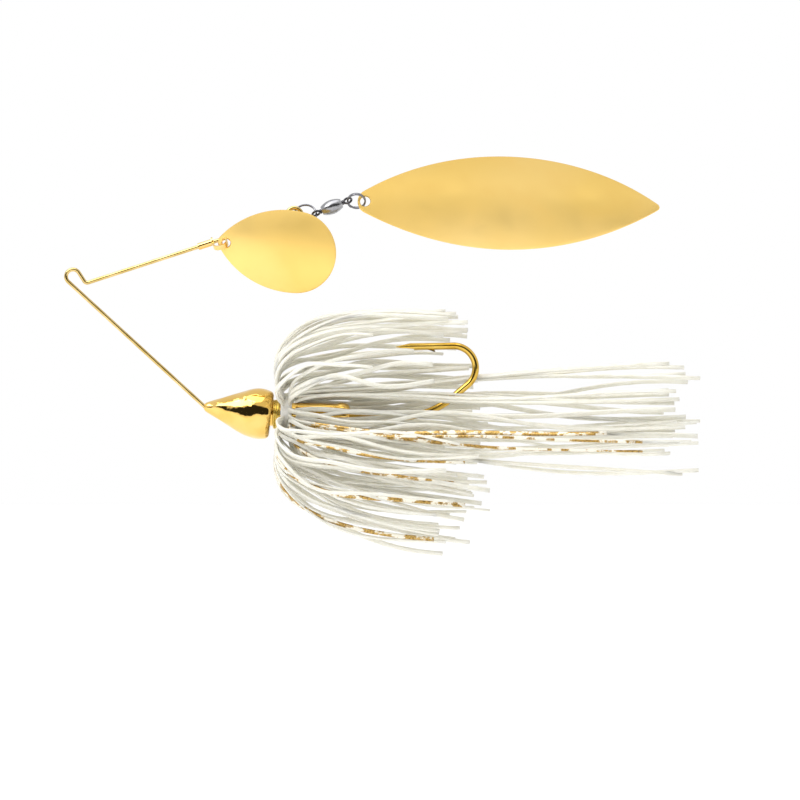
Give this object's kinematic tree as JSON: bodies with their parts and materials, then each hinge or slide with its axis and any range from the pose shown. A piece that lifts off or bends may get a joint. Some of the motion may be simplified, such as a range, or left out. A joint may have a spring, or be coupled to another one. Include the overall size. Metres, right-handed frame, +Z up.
{
  "type": "spinnerbait",
  "caption": "Safety-pin spinnerbait: bent wire frame with line tie, bullet head moulded on a hook, silicone skirt, small blade on a clevis and long leaf blade on a ball-bearing swivel.",
  "frame": {"origin": "centre of the line tie, the bend where the two arms of the wire meet", "axes": "+X towards the tail, +Z up on the hook-point side, +Y across the bait; the wire, head and hook lie in the plane Y = 0"},
  "size_m": [0.126, 0.0382, 0.0786],
  "materials": {
    "gold_wire": "gold-plated spring wire, bright",
    "gold_head": "gold-plated casting, mirror bright",
    "gold_hook": "gold-plated hook wire, bright",
    "gold_blade": "gold-plated stamped sheet, satin",
    "gold_bead": "gold-plated hollow bead, bright",
    "gold_clevis": "gold-plated folded strip, bright",
    "tie_wire": "soft gold-coloured wire",
    "band_rubber": "pale silicone band, satin",
    "pearl_silicone": "pearl white translucent silicone, satin",
    "flake_silicone": "clear silicone with gold flake, satin",
    "ring_steel": "nickel-plated wire, bright",
    "swivel_steel": "drawn barrel, satin nickel",
    "ball_steel": "polished bearing balls",
    "black_nickel": "black nickel wire, bright"
  },
  "bodies": {
    "frame": {"wire_frame": "gold_wire", "head_weight": "gold_head", "hook": "gold_hook", "skirt_band": "band_rubber", "skirt_tie_wire": "tie_wire", "skirt_top_flare": "pearl_silicone", "skirt_near_flare": "pearl_silicone", "skirt_bottom_flare": "pearl_silicone", "skirt_far_flare": "pearl_silicone", "skirt_inner_near": "pearl_silicone", "skirt_inner_far": "pearl_silicone", "skirt_tail_upper": "pearl_silicone", "skirt_tail_lower": "pearl_silicone", "skirt_flake_strands": "flake_silicone"},
    "tube_bead": {"front_bead": "gold_bead"},
    "clevis": {"clevis": "gold_clevis"},
    "small_blade": {"indiana_blade": "gold_blade"},
    "bead_1": {"rear_bead_1": "gold_bead"},
    "bead_2": {"rear_bead_2": "gold_bead"},
    "bead_3": {"rear_bead_3": "gold_bead"},
    "bead_4": {"rear_bead_4": "gold_bead"},
    "arm_ring": {"swivel_front_ring": "ring_steel"},
    "swivel_post": {"swivel_front_eye": "black_nickel"},
    "swivel_barrel": {"swivel_body": "swivel_steel", "swivel_balls": "ball_steel", "swivel_rear_eye": "black_nickel"},
    "split_ring": {"swivel_rear_ring": "ring_steel"},
    "large_blade": {"willow_blade": "gold_blade"}
  },
  "joints": [
    {"name": "blade_slide", "type": "slide", "parent": "frame", "child": "tube_bead", "axis": [-0.9511, 0, -0.309], "range_m": [0, 0.018]},
    {"name": "clevis_spin", "type": "hinge", "parent": "tube_bead", "child": "clevis", "pos_m": [0.02927, 0, 0.0073], "axis": [0.9511, 0, 0.309], "continuous": true},
    {"name": "small_blade_swing", "type": "hinge", "parent": "clevis", "child": "small_blade", "pos_m": [0.02959, -0.00205, 0.00631], "axis": [0.2753, 0.454, -0.8474], "range_deg": [-6, 85]},
    {"name": "bead_1_spin", "type": "hinge", "parent": "frame", "child": "bead_1", "pos_m": [0.03307, 0, 0.00854], "axis": [0.9511, 0, 0.309], "continuous": true},
    {"name": "bead_2_spin", "type": "hinge", "parent": "frame", "child": "bead_2", "pos_m": [0.03307, 0, 0.00854], "axis": [0.9511, 0, 0.309], "continuous": true},
    {"name": "bead_3_spin", "type": "hinge", "parent": "frame", "child": "bead_3", "pos_m": [0.03307, 0, 0.00854], "axis": [0.9511, 0, 0.309], "continuous": true},
    {"name": "bead_4_spin", "type": "hinge", "parent": "frame", "child": "bead_4", "pos_m": [0.03307, 0, 0.00854], "axis": [0.9511, 0, 0.309], "continuous": true},
    {"name": "arm_ring_swing", "type": "hinge", "parent": "frame", "child": "arm_ring", "pos_m": [0.04426, 0, 0.01217], "axis": [0, -1, 0], "range_deg": [-10, 25]},
    {"name": "swivel_swing", "type": "hinge", "parent": "arm_ring", "child": "swivel_post", "pos_m": [0.04863, 0, 0.01263], "axis": [0.3308, -0.4695, -0.8187], "range_deg": [-15, 35]},
    {"name": "swivel_spin", "type": "hinge", "parent": "swivel_post", "child": "swivel_barrel", "pos_m": [0.04863, 0, 0.01263], "axis": [0.9272, 0, 0.3746], "continuous": true},
    {"name": "split_ring_swing", "type": "hinge", "parent": "swivel_barrel", "child": "split_ring", "pos_m": [0.05494, 0, 0.01518], "axis": [-0.287, -0.6428, 0.7103], "range_deg": [-20, 45]},
    {"name": "large_blade_swing", "type": "hinge", "parent": "split_ring", "child": "large_blade", "pos_m": [0.05843, 0, 0.015], "axis": [0, -0.9703, 0.2419], "range_deg": [-12, 70]}
  ]
}
